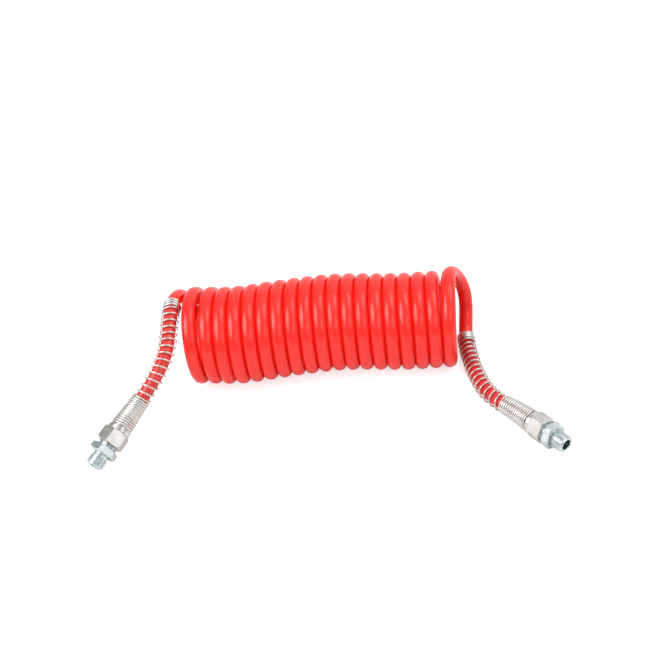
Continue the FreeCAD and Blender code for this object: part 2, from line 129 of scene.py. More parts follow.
def add_node(
    tree: bpy.types.NodeTree, kind: str, inputs: dict[str | int, Any] | None = None, **settings: Any
) -> bpy.types.Node:
    """Adds a node, with its settings and its links.

    Args:
        tree: the tree that gets it.
        kind: the node's type, without its prefix.
        inputs: by name or number, a value, the socket that feeds it, or the node whose first output does.
        settings: the node's own settings.

    Returns:
        The node.
    """
    node = tree.nodes.new(f"ShaderNode{kind}")
    for name, value in settings.items():
        setattr(node, name, value)
    for name, value in (inputs or {}).items():
        source = value.outputs[0] if isinstance(value, bpy.types.Node) else value
        if isinstance(source, bpy.types.NodeSocket):
            tree.links.new(source, node.inputs[name])
        else:
            node.inputs[name].default_value = source
    return node


def per_metre(first: float, second: float) -> tuple[float, float, float]:
    """Scales a UV map in metres so that a pattern's marks have these sizes."""
    return (1.0 / first, 1.0 / second, 1.0)


@dataclass(frozen=True)
class MachinedMetal:
    """A metal with machining lines, faint stains and uneven gloss. Each pattern's size is that of one mark."""

    name: str
    colour: str
    stain: str
    gloss: float
    dull: float
    line_around: float
    line_along: float
    line_height: float
    stain_size: float = 7.14 * MM
    patch_size: float = 2.38 * MM
    dent_size: float = 8.33 * MM
    dent_height: float = 0.02 * MM

    def material(self) -> bpy.types.Material:
        """Makes the material, which reads the piece's UV map.

        Returns:
            The material.
        """
        material = bpy.data.materials.new(self.name)
        tree = empty_tree(material)
        surface = add_node(tree, "UVMap", uv_map=UV_MAP)
        place = add_node(tree, "TexCoord").outputs["Object"]
        machined = {"Vector": surface, "Scale": per_metre(self.line_around, self.line_along)}
        lines = {"Vector": add_node(tree, "Mapping", machined), "Scale": 1.0, "Detail": 3.0}
        stains = add_node(tree, "TexNoise", {"Vector": place, "Scale": 1.0 / self.stain_size, "Detail": 4.0})
        patches = add_node(tree, "TexNoise", {"Vector": place, "Scale": 1.0 / self.patch_size, "Detail": 3.0})
        dents = add_node(tree, "TexNoise", {"Vector": place, "Scale": 1.0 / self.dent_size, "Detail": 1.0})
        stained = add_node(tree, "MapRange", {"Value": stains, "From Min": 0.42, "From Max": 0.68})
        colours = {0: stained, 6: linear(self.colour), 7: linear(self.stain)}
        uneven = {"Value": patches, "From Min": 0.3, "From Max": 0.7, "To Min": self.gloss, "To Max": self.dull}
        relief = {"Height": add_node(tree, "TexNoise", lines), "Distance": self.line_height, "Strength": 1.0}
        turned = add_node(tree, "Bump", relief)
        relief = {"Height": dents, "Distance": self.dent_height, "Strength": 1.0, "Normal": turned}
        metal = {
            "Base Color": add_node(tree, "Mix", colours, data_type="RGBA").outputs[2],
            "Metallic": 1.0,
            "Roughness": add_node(tree, "MapRange", uneven),
            "Normal": add_node(tree, "Bump", relief),
        }
        add_node(tree, "OutputMaterial", {"Surface": add_node(tree, "BsdfPrincipled", metal)})
        return material


# Bright zinc on turned steel: a warm silver sheen, with fine rings round the axis. Real tool marks are 0.1 mm apart,
# too fine to show here, so the rings are drawn at 0.24 mm.
NUT_TURNED = MachinedMetal(
    "zinc_plated_steel_turned", "E6E5E2", "D6D3CE", 0.24, 0.32, 33.3 * MM, 0.238 * MM, 0.004 * MM
)
# Bright zinc on drawn hexagon bar: flats of an even satin sheen, with faint lines along the bar.
NUT_DRAWN = MachinedMetal(
    "zinc_plated_steel_drawn_hexagon", "E6E4E1", "D6D2CA", 0.28, 0.36, 0.385 * MM, 16.7 * MM, 0.004 * MM
)
# Zinc under blue chromate: the same sheen with a cool, bluish tint, and the threads' crests bright.
NIPPLE_TURNED = MachinedMetal(
    "blue_chromate_zinc_turned", "E1EAEB", "D0DADD", 0.22, 0.30, 33.3 * MM, 0.238 * MM, 0.004 * MM
)
NIPPLE_DRAWN = MachinedMetal(
    "blue_chromate_zinc_drawn_hexagon", "E3EDED", "D2DCDF", 0.26, 0.34, 0.385 * MM, 16.7 * MM, 0.004 * MM
)
# Drawn and plated spring wire: a thin bright line along each curl, broken by fine lines along the wire.
WIRE = MachinedMetal("zinc_plated_spring_wire", "EAE8E4", "DAD7D2", 0.25, 0.36, 0.455 * MM, 25.0 * MM, 0.002 * MM)
# Turned brass, bare: warm yellow, deep in the fitting's mouth.
BRASS = MachinedMetal("turned_brass", "D8B76A", "A98646", 0.22, 0.38, 33.3 * MM, 0.238 * MM, 0.010 * MM)


@dataclass(frozen=True)
class ExtrudedTube:
    """A plastic tube with faint lines of its extrusion, uneven gloss, and a painted shade under its guard springs: a
    darker red in place of the shadow that their curls cast on it.

    The painted shade covers as much of each end as its guard spring does, the left reach for the left spring and the
    right reach for the right one.
    """

    name: str
    colour: str
    shade: str
    # Painted shade: the darker red laid on the tube under the guard springs, in place of their shadow.
    spring_shade_colour: str
    gloss: float = 0.19
    dull: float = 0.26
    flank_dull: float = 0.25
    shade_size: float = 45.5 * MM
    grain_size: float = 3.33 * MM
    line_length: float = 167.0 * MM
    line_width: float = 1.11 * MM
    line_height: float = 0.004 * MM
    wave_length: float = 38.5 * MM
    wave_width: float = 11.1 * MM
    wave_height: float = 0.03 * MM
    # How far the painted shade of the springs reaches at each end, and the length over which it fades out.
    spring_shade_left: float = 138.0 * MM
    spring_shade_right: float = 144.0 * MM
    spring_shade_fade: float = 12.0 * MM

    def material(self, length: float) -> bpy.types.Material:
        """Makes the material, which reads the tube's UV map.

        Args:
            length: the tube's length.

        Returns:
            The material.
        """
        material = bpy.data.materials.new(self.name)
        tree = empty_tree(material)
        surface = add_node(tree, "UVMap", uv_map=UV_MAP)
        coordinates = add_node(tree, "TexCoord")
        place = coordinates.outputs["Object"]

        shade = add_node(tree, "TexNoise", {"Vector": place, "Scale": 1.0 / self.shade_size, "Detail": 2.0})
        shaded = add_node(tree, "MapRange", {"Value": shade, "From Min": 0.35, "From Max": 0.65})
        colours = {0: shaded, 6: linear(self.colour), 7: linear(self.shade)}
        clean = add_node(tree, "Mix", colours, data_type="RGBA").outputs[2]
        reach = add_node(tree, "SeparateXYZ", {"Vector": surface}).outputs["X"]
        # Painted shade: masks that darken the tube where the guard springs lie over it, in place of their shadow.
        left = {"Value": reach, "From Min": self.spring_shade_left + self.spring_shade_fade, "From Max": self.spring_shade_left}
        right_end = length - self.spring_shade_right
        right = {"Value": reach, "From Min": right_end - self.spring_shade_fade, "From Max": right_end}
        masks = {0: add_node(tree, "MapRange", left), 1: add_node(tree, "MapRange", right)}
        spring_shade_mix = {0: add_node(tree, "Math", masks, operation="MAXIMUM"), 6: clean, 7: linear(self.spring_shade_colour)}

        # The turns rub each other on their flanks, which face along the coil.
        facing = add_node(tree, "SeparateXYZ", {"Vector": coordinates.outputs["Normal"]}).outputs["X"]
        sideways = add_node(tree, "Math", {0: facing}, operation="ABSOLUTE")
        rubbed = {"Value": sideways, "From Min": 0.97, "From Max": 1.0, "To Max": self.flank_dull}
        grain = add_node(tree, "TexNoise", {"Vector": place, "Scale": 1.0 / self.grain_size, "Detail": 4.0})
        grained = {"Value": grain, "From Min": 0.35, "From Max": 0.7, "To Min": self.gloss, "To Max": self.dull}
        roughness = {0: add_node(tree, "MapRange", grained), 1: add_node(tree, "MapRange", rubbed)}

        drawn = {"Vector": surface, "Scale": per_metre(self.line_length, self.line_width)}
        lines = {"Vector": add_node(tree, "Mapping", drawn), "Scale": 1.0, "Detail": 3.0}
        wavy = {"Vector": surface, "Scale": per_metre(self.wave_length, self.wave_width)}
        waves = {"Vector": add_node(tree, "Mapping", wavy), "Scale": 1.0, "Detail": 1.0}
        relief = {"Height": add_node(tree, "TexNoise", lines), "Distance": self.line_height, "Strength": 1.0}
        relief = {
            "Height": add_node(tree, "TexNoise", waves),
            "Distance": self.wave_height,
            "Strength": 1.0,
            "Normal": add_node(tree, "Bump", relief),
        }
        plastic = {
            "Base Color": add_node(tree, "Mix", spring_shade_mix, data_type="RGBA").outputs[2],
            "Roughness": add_node(tree, "Math", roughness, operation="ADD"),
            "Normal": add_node(tree, "Bump", relief),
            "IOR": 1.53,
            "Subsurface Weight": 0.35,
            "Subsurface Radius": (0.004, 0.0008, 0.0006),
            "Subsurface Scale": 0.6,
        }
        add_node(tree, "OutputMaterial", {"Surface": add_node(tree, "BsdfPrincipled", plastic)})
        return material


# Extruded polyamide, dyed red: glossy, so each turn carries a clear highlight, and light that enters it glows red. The
# last colour is a painted shade for the tube under the guard springs.
POLYAMIDE = ExtrudedTube("red_polyamide_tube", "F4271D", "F12218", "D4362F")


# Meshes


@dataclass(frozen=True)
class Ring:
    """A row of a wrapped grid, whose last point lies on its first. The slot is for the faces up to the next row."""

    points: list[Vector]
    unrolled: list[tuple[float, float]]
    slot: int = 0


class Shell:
    """A piece's mesh in the making: grids that are wrapped round, then welded and closed."""

    def __init__(self) -> None:
        """Starts with no faces, and a UV map in metres."""
        self.build = bmesh.new()
        self.skin = self.build.loops.layers.uv.new(UV_MAP)
        self.seams: dict[bmesh.types.BMVert, bmesh.types.BMVert] = {}

    def wrap(self, rings: Sequence[Ring], looped: bool = False) -> None:
        """Makes a grid and lays each of its rows on a ring.

        Args:
            rings: the places of the rows.
            looped: True where the last ring lies on the first, as in a closed outline that is turned.
        """
        columns = len(rings[0].points)
        rows = len(rings)
        grid = bmesh.ops.create_grid(self.build, x_segments=columns - 1, y_segments=rows - 1, size=1.0)["verts"]
        kept_rows = rows - 1 if looped else rows
        # From the last row to the first, so that the faces between two rows keep the slot of the first of them
        for row, ring in reversed(list(enumerate(rings))):
            for column, (point, place) in enumerate(zip(ring.points, ring.unrolled)):
                vertex = grid[row * columns + column]
                home = grid[row % kept_rows * columns + column % (columns - 1)]
                vertex.co = point
                if vertex != home:
                    self.seams[vertex] = home
                for loop in vertex.link_loops:
                    loop[self.skin].uv = place
                    loop.face.material_index = ring.slot
                    loop.face.smooth = True

    def finish(self, name: str, materials: Sequence[bpy.types.Material]) -> bpy.types.Object:
        """Welds the seams, closes the open ends and makes the object.

        Args:
            name: the piece's name.
            materials: one for each slot.

        Returns:
            The linked object.
        """
        bmesh.ops.weld_verts(self.build, targetmap=self.seams)
        open_ends = [edge for edge in self.build.edges if edge.is_boundary]
        if open_ends:
            bmesh.ops.edgeloop_fill(self.build, edges=open_ends, mat_nr=0, use_smooth=True)
        bmesh.ops.recalc_face_normals(self.build, faces=self.build.faces)
        mesh = bpy.data.meshes.new(name)
        self.build.to_mesh(mesh)
        self.build.free()
        for material in materials:
            mesh.materials.append(material)
        piece = bpy.data.objects.new(name, mesh)
        bpy.context.scene.collection.objects.link(piece)
        return piece


@dataclass(frozen=True)
class Station:
    """A place on a path: the point, the direction, and a side direction that doesn't twist."""

    point: Vector
    way: Vector
    side: Vector
    along: float


class Path:
    """A smooth line with stations at its points, to lay tubes and coils along."""

    def __init__(self, points: Sequence[Vector]) -> None:
        """Carries a side direction along the points without twist.

        Args:
            points: the line's points, close enough together to be smooth.
        """
        self.stations: list[Station] = []
        last = len(points) - 1
        ways = [(points[min(number + 1, last)] - points[max(number - 1, 0)]).normalized() for number in range(last + 1)]
        side = ways[0].cross(Vector((0.0, 0.0, 1.0)))
        if side.length < 0.1:
            side = ways[0].cross(Vector((1.0, 0.0, 0.0)))
        side.normalize()
        along = 0.0
        for number, (point, way) in enumerate(zip(points, ways)):
            if number:
                side = ways[number - 1].rotation_difference(way) @ side
                side = (side - way * side.dot(way)).normalized()
                along += (point - points[number - 1]).length
            self.stations.append(Station(point, way, side, along))
        self.length = along

    def at(self, along: float) -> Station:
        """Finds a place between the two nearest stations.

        Args:
            along: distance from the path's start.

        Returns:
            The station there.
        """
        low, high = 0, len(self.stations) - 1
        while high - low > 1:
            middle = (low + high) // 2
            if self.stations[middle].along <= along:
                low = middle
            else:
                high = middle
        first, second = self.stations[low], self.stations[high]
        share = (along - first.along) / (second.along - first.along)
        way = first.way.lerp(second.way, share).normalized()
        side = first.side.lerp(second.side, share)
        side = (side - way * side.dot(way)).normalized()
        return Station(first.point.lerp(second.point, share), way, side, along)


def spline_points(name: str, route: Sequence[Vector], steps: int) -> list[Vector]:
    """Reads the smooth line whose control points are a route.

    Args:
        name: a name for the short-lived curve.
        route: the line's control points.
        steps: points between one control point and the next.

    Returns:
        The points, from the first control point to the last.
    """
    curve = bpy.data.curves.new(name, "CURVE")
    curve.dimensions = "3D"
    curve.resolution_u = steps
    spline = curve.splines.new("NURBS")
    spline.points.add(len(route) - 1)
    for point, place in zip(spline.points, route):
        point.co = (*place, 1.0)
    spline.order_u = 3
    spline.use_endpoint_u = True
    holder = bpy.data.objects.new(name, curve)
    line = bpy.data.meshes.new_from_object(holder)
    points = [vertex.co.copy() for vertex in line.vertices]
    bpy.data.objects.remove(holder)
    bpy.data.curves.remove(curve)
    bpy.data.meshes.remove(line)
    return points


# The two ends of the hose


@dataclass(frozen=True)
class HoseEnd:
    """Where one end of the hose lies: port, direction backwards, turns of the hexagons, route of the tail."""

    side: Side
    port: Vector
    back: Vector
    nut_turn: float
    body_turn: float
    open_pitch: float
    tail: tuple[Vector, ...]

    def along(self, reach: float) -> Vector:
        """Point on the fitting's axis, so far behind the port's face."""
        return self.port + self.back * reach

    def placement(self, degrees: float) -> Matrix:
        """Lays a piece drawn along +Z in the fitting.

        Args:
            degrees: how far its +X is turned from the top.

        Returns:
            The transform from the drawing to the fitting.
        """
        top = (Vector((0.0, 0.0, 1.0)) - self.back * self.back.z).normalized()
        turn = Matrix((top, self.back.cross(top), self.back)).transposed().to_4x4()
        return Matrix.Translation(self.port) @ turn @ Matrix.Rotation(math.radians(-degrees), 4, "Z")


LEFT = HoseEnd(
    side=Side.LEFT,
    port=Vector((-0.205111, -0.1292, 0.006851)),
    back=Vector((0.5957, 0.6925, 0.4070)).normalized(),
    nut_turn=40.3,
    body_turn=43.0,
    open_pitch=6.25 * MM,
    tail=(
        Vector((-0.137400, -0.033237, 0.071800)),
        Vector((-0.139107, -0.051928, 0.063742)),
        Vector((-0.148433, -0.070500, 0.051700)),
        Vector((-0.169370, -0.087651, 0.031270)),
        Vector((-0.187241, -0.108426, 0.019061)),
        Vector((-0.193198, -0.115350, 0.014990)),
    ),
)
RIGHT = HoseEnd(
    side=Side.RIGHT,
    port=Vector((0.196623, -0.1459, 0.0111)),
    back=Vector((-0.594, 0.804, 0.0)).normalized(),
    nut_turn=30.0,
    body_turn=29.5,
    open_pitch=6.7 * MM,
    tail=(
        Vector((0.132620, -0.017022, 0.009150)),
        Vector((0.133880, -0.041389, 0.009150)),
        Vector((0.141320, -0.074800, 0.009600)),
        Vector((0.163941, -0.101663, 0.011100)),
        Vector((0.178796, -0.121771, 0.011100)),
        Vector((0.184738, -0.129814, 0.011100)),
    ),
)


# The hose


@dataclass(frozen=True)
class Change:
    """A smooth change towards one end of the coil, in turns before that end."""

    amount: float
    start: float
    end: float

    def at(self, remaining: float) -> float:
        """Value where so many turns remain to the coil's end."""
        return self.amount * smooth((self.start - remaining) / (self.start - self.end))


@dataclass(frozen=True)
class Bow:
    """A smooth swell of the coil: its size, the turn where it is widest, and the turns from there to its ends."""

    amount: float
    middle: float
    reach: float

    def at(self, turn: float) -> float:
        """Value at a turn."""
        return self.amount * smooth(1.0 - abs(turn - self.middle) / self.reach)


@dataclass(frozen=True)
class Coil:
    """The line of the wound middle: a left-handed helix that leans, bows and swings as the photographed one does.

    Turns are counted from the bottom of the middle turn.
    """

    radius: float = 0.0387
    pitch: float = 0.0126
    lean: float = 0.12
    swivel: float = 0.00157
    axis_height: float = 0.0442
    left_end: float = -9.575
    right_end: float = 10.0
    points_per_turn: int = 16
    back_bow: Bow = Bow(0.0057, 1.2, 5.65)
    front_bow: Bow = Bow(0.00375, -6.0, 3.3)
    left_opening: Bow = Bow(0.0023, -8.5, 0.55)
    left_drift: Change = Change(0.0052, 0.6, 0.05)
    left_swing: Change = Change(0.0022, 0.14, -0.14)
    left_drop: Change = Change(0.0028, 0.45, 0.05)
    right_ease: Change = Change(1.0, 0.75, 0.45)
    right_drift: float = 0.0006
    right_upright: float = 0.025
    right_lift: Change = Change(0.00365, 0.85, 0.45)
    right_swing: Change = Change(0.0142, 0.5, 0.2)
    right_return: Change = Change(0.0088, 0.24, 0.0)

    def point(self, turn: float, radius: float) -> Vector:
        """Places a control point.

        Args:
            turn: its turn.
            radius: its distance from the coil's axis.

        Returns:
            The point.
        """
        angle = TAU * turn
        rise = self.radius * (1.0 - math.cos(angle))
        left = turn - self.left_end
        right = self.right_end - turn
        eased = self.right_ease.at(right)
        along = self.pitch * turn - (self.lean - self.right_upright * eased) * rise
        along -= self.swivel * (1.0 - eased) * math.sin(angle)
        along -= self.left_opening.at(turn) + self.left_drift.at(left) + self.left_swing.at(left)
        along += self.right_drift * eased + self.right_swing.at(right) - self.right_return.at(right)
        back = self.back_bow.at(turn) - self.front_bow.at(turn) - self.back_bow.at(0.0)
        height = self.axis_height - radius * math.cos(angle)
        height += self.right_lift.at(right) - self.left_drop.at(left)
        return Vector((along, back - radius * math.sin(angle), height))

    def route(self) -> list[Vector]:
        """Lays the control points, far enough out for the spline between them to keep the coil's radius.

        Returns:
            The points, from the left end to the right one.
        """
        turns = self.right_end - self.left_end
        count = round(turns * self.points_per_turn)
        step = turns / count
        outside = self.radius * 4.0 / (3.0 + math.cos(TAU * step))
        return [self.point(self.left_end + step * number, outside) for number in range(count + 1)]


@dataclass
class Hose:
    """The one-piece tube: its middle wound to a coil, its ends in the two fittings.

    Winding presses the turns together, from press_start along the tube and over press_reach more.
    """

    coil: Coil = Coil()
    radius: float = 6.0 * MM
    bore_radius: float = 4.5 * MM
    press: float = 0.5 * MM
    press_start: float = 110.0 * MM
    press_reach: float = 60.0 * MM
    sides: int = 48
    bore_rings: int = 12
    spline_steps: int = 4
    points: list[Vector] = field(init=False)
    path: Path = field(init=False)

    def __post_init__(self) -> None:
        """Reads the smooth line of the route."""
        self.points = spline_points("hose_line", self.route(), self.spline_steps)
        self.path = Path(self.points)

    def route(self) -> list[Vector]:
        """Control points of the whole hose, from its end in the left fitting to its end in the right one."""
        return [*reversed(LEFT.tail), *self.coil.route(), *RIGHT.tail]

    def ring(self, station: Station, radius: float) -> Ring:
        """Lays a ring round the tube: oval where the turns are pressed together, flat where it lies on the floor.

        Args:
            station: the ring's middle.
            radius: its radius before it is pressed.

        Returns:
            The ring.
        """
        points, unrolled = [], []
        across = station.way.cross(station.side)
        from_end = min(station.along, self.path.length - station.along)
        pressed = self.press * smooth((from_end - self.press_start) / self.press_reach)
        for number in range(self.sides + 1):
            angle = TAU * number / self.sides
            outwards = station.side * math.cos(angle) + across * math.sin(angle)
            point = station.point + outwards * radius
            point.x += outwards.x * pressed
            point.z = max(point.z, 0.0)
            points.append(point)
            unrolled.append((station.along, angle * self.radius))
        return Ring(points, unrolled)

    def build(self, material: bpy.types.Material) -> bpy.types.Object:
        """Makes the tube, with a length of its bore at each end.

        Args:
            material: the tube's plastic.

        Returns:
            The piece.
        """
        stations = self.path.stations
        first_bore = stations[self.bore_rings :: -1]
        last_bore = stations[: -self.bore_rings - 2 : -1]
        rings = [self.ring(station, self.bore_radius) for station in first_bore]
        rings += [self.ring(station, self.radius) for station in stations]
        rings += [self.ring(station, self.bore_radius) for station in last_bore]
        shell = Shell()
        shell.wrap(rings)
        piece = shell.finish("coiled_hose", [material])
        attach(piece, "hose")
        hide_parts("hose_coil", "hose_tail_left", "hose_tail_right")
        return piece

    def declare(self) -> None:
        """Turns the hose's first point and its points into plain values, and keeps neither.
        """
        tuple(self.points[0])
        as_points(self.points)


# The guard springs


@dataclass
class GuardSpring:
    """The kink guard: closed curls at the coil, open curls, and a closed stretch that widens onto the nut.

    The line that it is wound round follows so many of the hose's control points, up to those in the fitting, and then
    the fitting's axis. The seat, the axis and the blend are reaches behind the port's face. The blend's two reaches are
    made into points on the axis, and nothing else uses them.
    """

    end: HoseEnd
    hose: Hose
    wire_radius: float = 0.8 * MM
    cut_share: float = 0.82
    closed_gap: float = 0.12 * MM
    closed_pitch: float = 3.4 * MM
    narrow_radius: float = 7.6 * MM
    wide_radius: float = 9.45 * MM
    start_pitch: float = 2.6 * MM
    end_pitch: float = 2.25 * MM
    start_curls: float = 3.0
    open_curls: float = 14.0
    end_curls: float = 14.0
    seat_curls: float = 1.5
    seat: float = 40.35 * MM
    axis_start: float = 44.0 * MM
    axis_end: float = 20.0 * MM
    blend_start: float = 100.0 * MM
    blend_end: float = 56.0 * MM
    hose_points: int = 14
    fitting_points: int = 2
    spline_steps: int = 12
    curl_steps: int = 30
    wire_sides: int = 14
    path: Path = field(init=False)

    def __post_init__(self) -> None:
        """Finds the line that the spring is wound round: the hose, then the fitting's axis."""
        route = self.hose.route()
        if self.end.side is Side.LEFT:
            route.reverse()
        followed = route[-self.hose_points - self.fitting_points : -self.fitting_points]
        axis = [self.end.along(self.axis_start), self.end.along(self.axis_end)]
        self.path = Path(spline_points("guard_line", [*followed, *axis], self.spline_steps))

    def along(self, curl: float) -> float:
        """Measures how far a number of curls reach along the line.

        Args:
            curl: the curls, counted from the coil's side.

        Returns:
            The distance from the first curl's start.
        """
        second = self.start_curls + self.open_curls
        opening = (self.end.open_pitch - self.start_pitch) * smooth_area(curl - self.start_curls + 0.5)
        closing = (self.end_pitch - self.end.open_pitch) * smooth_area(curl - second + 0.5)
        return self.start_pitch * curl + opening + closing

    def half_width(self, curl: float) -> float:
        """Halves the wire's width along the hose: curls that lie against each other are pressed a little flat.

        Args:
            curl: where it is measured.

        Returns:
            Half the width.
        """
        pitch = self.along(curl + 0.5) - self.along(curl - 0.5)
        closed = smooth((self.closed_pitch - pitch) / (self.closed_pitch - self.start_pitch))
        return self.wire_radius + ((pitch - self.closed_gap) / 2.0 - self.wire_radius) * closed

    def wind(self) -> tuple[Path, list[Vector]]:
        """Winds the wire round the line, from the coil to the nut.

        Returns:
            The wire's middle, and the direction of the hose at each of its stations.
        """
        second = self.start_curls + self.open_curls
        total = second + self.end_curls
        widening = self.end_curls - self.seat_curls
        start = self.path.length - (self.seat - self.axis_end) - self.along(total)
        points, ways = [], []
        for number in range(round(total * self.curl_steps) + 1):
            curl = number / self.curl_steps
            station = self.path.at(start + self.along(curl))
            share = min(max((curl - second) / widening, 0.0), 1.0)
            radius = self.narrow_radius + (self.wide_radius - self.narrow_radius) * share
            across = station.way.cross(station.side)
            outwards = station.side * math.cos(TAU * curl) + across * math.sin(TAU * curl)
            points.append(station.point + outwards * radius)
            ways.append(station.way)
        return Path(points), ways

    def build(self, material: bpy.types.Material) -> bpy.types.Object:
        """Makes the wire, with its cut ends.

        Args:
            material: the wire's finish.

        Returns:
            The piece.
        """
        wire, ways = self.wind()
        last = len(ways) - 1
        angles = [TAU * number / self.wire_sides for number in range(self.wire_sides + 1)]
        rings = []
        for number, (station, way) in enumerate(zip(wire.stations, ways)):
            across = station.way.cross(station.side)
            radius = self.wire_radius * (self.cut_share if number in (0, last) else 1.0)
            extra = self.half_width(number / self.curl_steps) - self.wire_radius
            points = []
            for angle in angles:
                outwards = station.side * math.cos(angle) + across * math.sin(angle)
                points.append(station.point + outwards * radius + way * (outwards.dot(way) * extra))
            rings.append(Ring(points, [(angle * radius, station.along) for angle in angles]))
        shell = Shell()
        shell.wrap(rings)
        side = self.end.side.value
        piece = shell.finish(f"guard_spring_coil_{side}", [material])
        start, end = self.end.along(self.blend_start), self.end.along(self.blend_end)
        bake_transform(piece)
        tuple(start)
        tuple(end)
        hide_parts(f"guard_spring_{side}")
        return piece


# The turned pieces of the fittings. A rim is a turned shape's radius and height at each angle.

Rim = Callable[[float], tuple[float, float]]
TURNED, DRAWN = 0, 1
TURNED_STEPS = 96
UNROLLED_RADIUS = 10.0 * MM
HEX_BEVEL = math.tan(math.radians(30.0))
CORNER_STEPS = (0.0, 0.6, 1.2, 1.8, 2.6, 4.0, 7.0, 11.0, 16.0, 20.0, 25.0)
# Rings at a hexagon's crown: outwards from it, and behind the turned face
CROWN_EDGE = ((-0.12 * MM, 0.0), (0.05 * MM, 0.03 * MM))
# Rings over a hexagon's edge: inwards from the flats, and behind the line where the cone meets them
CONE_EDGE = (
    (0.45 * MM, -0.45 * MM * HEX_BEVEL),
    (0.16 * MM, -0.16 * MM * HEX_BEVEL),
    (0.03 * MM, 0.02 * MM),
    (0.0, 0.14 * MM),
    (0.0, 0.5 * MM),
)


def even_angles() -> list[float]:
    """Evenly spaced angles of a full turn."""
    return [TAU * number / TURNED_STEPS for number in range(TURNED_STEPS + 1)]


def hexagon_angles() -> list[float]:
    """Spaces the angles of a full turn so that they crowd at a hexagon's corners.

    Returns:
        The angles.
    """
    offsets = [*(-step for step in reversed(CORNER_STEPS[1:])), *CORNER_STEPS, 30.0]
    angles = [math.radians(60.0 * corner + offset) for corner in range(6) for offset in offsets]
    return [*angles, angles[0] + TAU]


def circle(radius: float, height: float) -> Rim:
    """A plain round rim."""
    return lambda angle: (radius, height)


def rounded_outline(corners: Sequence[tuple[float, float]], radius: float) -> list[Rim]:
    """Turns an outline whose inner corners are eased by small arcs.

    Args:
        corners: radius and height of each corner.
        radius: how far from a corner its arc starts, where the neighbouring corners leave room.

    Returns:
        The rims.
    """
    rims: list[Rim] = [circle(*corners[0])]
    for before, corner, after in zip(corners, corners[1:], corners[2:]):
        here = Vector(corner)
        back, ahead = Vector(before) - here, Vector(after) - here
        reach = min(radius, back.length * 0.45, ahead.length * 0.45)
        start, end = here + back.normalized() * reach, here + ahead.normalized() * reach
        for share in (0.0, 0.33, 0.67, 1.0):
            point = start * (1.0 - share) ** 2 + here * 2.0 * share * (1.0 - share) + end * share**2
            rims.append(circle(point.x, point.y))
    rims.append(circle(*corners[-1]))
    return rims


@dataclass(frozen=True)
class Thread:
    """A right-hand thread between two heights, with a lead-in chamfer. Its depth is negative in a bore."""

    start: float
    end: float
    crest: float
    depth: float
    lead_radius: float
    lead_height: float
    pitch: float = 1.5 * MM
    rings_per_turn: int = 14

    def rim(self, height: float, angle: float) -> tuple[float, float]:
        """Finds the thread's surface.

        Args:
            height: the rim's height.
            angle: the place on the rim.

        Returns:
            Radius and height there.
        """
        phase = (height / self.pitch - angle / TAU) % 1.0
        radius = self.crest - self.depth * smooth((abs(phase - 0.5) - 0.07) / 0.3)
        off = abs(height - self.lead_height)
        if self.depth > 0.0:
            return min(radius, self.lead_radius + off), height
        return max(radius, self.lead_radius - off), height

    def rims(self) -> list[Rim]:
        """Spaces rims close enough together to show the flanks.

        Returns:
            The rims, from the start to the end.
        """
        count = max(2, round(abs(self.end - self.start) / self.pitch * self.rings_per_turn))
        heights = [self.start + (self.end - self.start) * number / count for number in range(count + 1)]
        return [partial(self.rim, height) for height in heights]


def turn_shape(shell: Shell, rims: Sequence[tuple[Rim, int]], angles: Sequence[float], placement: Matrix) -> None:
    """Adds a closed shape: the rims in order, the last joined to the first.

    Args:
        shell: the piece that gets it.
        rims: each rim, with the material slot of the faces up to the next.
        angles: the angles of a full turn, both ends included.
        placement: where the shape is laid.
    """
    rings: list[Ring] = []
    travelled = 0.0
    previous: tuple[float, float] | None = None
    for rim, slot in [*rims, rims[0]]:
        places = [rim(angle) for angle in angles]
        travelled += math.dist(places[0], previous or places[0])
        previous = places[0]
        points = [
            placement @ Vector((radius * math.cos(angle), radius * math.sin(angle), height))
            for angle, (radius, height) in zip(angles, places)
        ]
        rings.append(Ring(points, [(angle * UNROLLED_RADIUS, travelled) for angle in angles], slot))
    shell.wrap(rings, looped=True)


